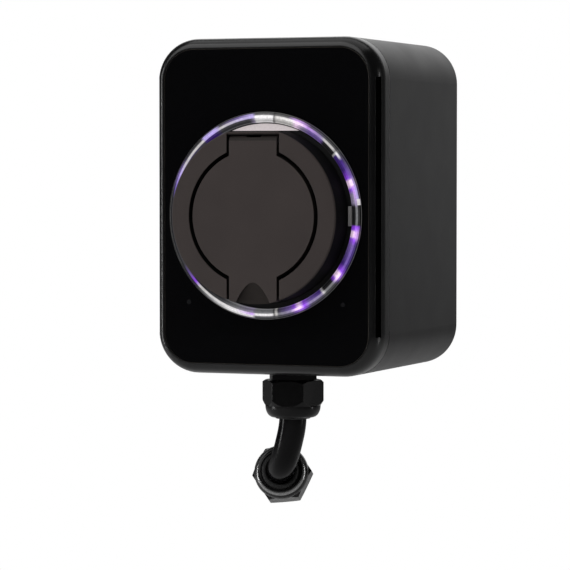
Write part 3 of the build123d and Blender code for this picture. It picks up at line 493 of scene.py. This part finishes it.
# The slots' materials
MOULDINGS = (
    ("casing_black", (0.0075, 0.0072, 0.0080), 0.36, {"grain": 2600.0, "depth": 0.000008, "specular": 0.3}),
    ("carrier_black", (0.004, 0.004, 0.0045), 0.5, {"specular": 0.2}),
    ("clip_grey", (0.34, 0.33, 0.33), 0.5, {}),
    ("insert_black", (0.012, 0.012, 0.012), 0.5, {}),
    ("rubber_black", (0.008, 0.008, 0.008), 0.6,
     {"grain": 1400.0, "depth": 0.00002, "vary": 0.2, "specular": 0.35, "wear": 0.1}),
    ("strip_white", (0.7, 0.7, 0.7), 0.5, {}),
    ("chip_black", (0.012, 0.012, 0.013), 0.55, {}),
    ("relay_blue", (0.02, 0.07, 0.26), 0.35, {}),
    ("terminal_grey", (0.20, 0.22, 0.23), 0.45, {}),
    ("lead_sleeve", (0.16, 0.07, 0.03), 0.45, {}),
    ("gland_nylon", NYLON, NYLON_ROUGH, NYLON_LOOK),
    ("cable_sheath", (0.0012, 0.0010, 0.0014), 0.17,
     {"grain": 500.0, "depth": 0.000012, "specular": 0.12, "edge": 0.0}),
    ("lens_dark", (0.004, 0.004, 0.005), 0.25, {"specular": 0.3}),
)
for name, base, roughness, options in MOULDINGS:
    moulded(name, base, roughness, **options)
grooved_bezel()
glass_panel()
clear_tube()
board()
metal("screw_steel", (0.56, 0.57, 0.58), 0.3)
metal("bright_steel", (0.62, 0.62, 0.64), 0.18)
metal("contact_brass", (0.80, 0.66, 0.36), 0.25)
metal("bracket_steel", (0.55, 0.56, 0.57), 0.42, (1.0, 1.0, 0.1), 0.000006, 900.0)
lit("window_white", (0.62, 0.56, 0.57), 0.55)
lit("led_lit", (0.62, 0.42, 1.0), 2.0)

# The materials of pieces that don't look like the rest of their slot
two_tone_collar()
scooped_lid()
highlighted_mouth()
OWN_MATERIALS = {
    "socket_collar": "collar_two_tone",
    "socket_lid": "lid_charcoal",
    "indicator_lenses": "lens_dark",
    "far_gland_nut": "far_nut_nylon",
}
for part in frame["record"]["subparts"]:
    slots = nodes[part["node"]].data.materials
    slots.clear()
    slots.append(MATERIALS[OWN_MATERIALS.get(part["node"], part["material_slot"])])
cable.data.materials.append(MATERIALS["cable_sheath"])

bpy.context.scene.view_settings.view_transform = "Standard"


def white_to_camera(tree, unseen, seen, output):
    """Shows the camera one shader, and everything else the other."""
    mix = tree.nodes.new("ShaderNodeMixShader")
    path = tree.nodes.new("ShaderNodeLightPath")
    tree.links.new(path.outputs["Is Camera Ray"], mix.inputs["Fac"])
    tree.links.new(unseen, mix.inputs[1])
    tree.links.new(seen, mix.inputs[2])
    tree.links.new(mix.outputs["Shader"], tree.nodes[output].inputs["Surface"])


# Floor, well below the part because it hangs on a wall
FLOOR_SIZE, FLOOR_Z, FLOOR_GREY = 12.0, -0.45, (0.85, 0.85, 0.85)
bpy.ops.mesh.primitive_plane_add(size=FLOOR_SIZE, location=(0.0, 0.0, FLOOR_Z))
floor = bpy.context.object
floor.name = "floor"
tree, pale = new_material("floor_pale", FLOOR_GREY, 0.8)
white = tree.nodes.new("ShaderNodeEmission")
white_to_camera(tree, pale.outputs["BSDF"], white.outputs["Emission"], "Material Output")
floor.data.materials.append(MATERIALS["floor_pale"])

# World: white to the camera, and for the object a pale patch behind it in a dim room. The patch fades with the
# cosine of the angle from its middle.
BACKDROP_WAY = (-0.153, 0.968, 0.199)
ROOM_LEVEL, PATCH_LEVEL, PATCH_EDGE, PATCH_FULL = 0.055, 1.0, 0.86, 0.955
world = bpy.data.worlds.new("studio")
bpy.context.scene.world = world
world.use_nodes = True
tree = world.node_tree
direction = tree.nodes.new("ShaderNodeTexCoord").outputs["Generated"]
level = spread(tree, along(tree, direction, BACKDROP_WAY), ROOM_LEVEL, PATCH_LEVEL, PATCH_EDGE, PATCH_FULL,
               "SMOOTHSTEP")
room, clean = tree.nodes["Background"], tree.nodes.new("ShaderNodeBackground")
for background in (room, clean):
    background.inputs["Color"].default_value = (1.0, 1.0, 1.0, 1.0)
    background.inputs["Strength"].default_value = 1.0
tree.links.new(level, room.inputs["Strength"])
white_to_camera(tree, room.outputs["Background"], clean.outputs["Background"], "World Output")

# Lamps: name, place, the point that it looks at, width, height and power
LAMPS = (
    ("key_light", (-0.7, -1.5, 1.5), (0.0, -0.1, 0.0), 2.6, 2.2, 36.0),
    ("top_light", (-0.1, 0.15, 1.6), (-0.1, 0.1, 0.0), 1.8, 1.8, 8.0),
    ("left_strip", (-1.30, -0.62, -0.05), (0.0, -0.1, -0.05), 0.10, 0.9, 5.0),
    ("right_strip", (1.30, 0.38, -0.05), (0.0, -0.1, -0.05), 0.07, 0.9, 1.6),
)
for name, place, target, width, height, power in LAMPS:
    lamp_data = bpy.data.lights.new(name, "AREA")
    lamp_data.shape = "RECTANGLE"
    lamp_data.size = width
    lamp_data.size_y = height
    lamp_data.energy = power
    lamp = bpy.data.objects.new(name, lamp_data)
    lamp.location = place
    lamp.rotation_euler = (Vector(target) - Vector(place)).to_track_quat("-Z", "Y").to_euler()
    bpy.context.scene.collection.objects.link(lamp)
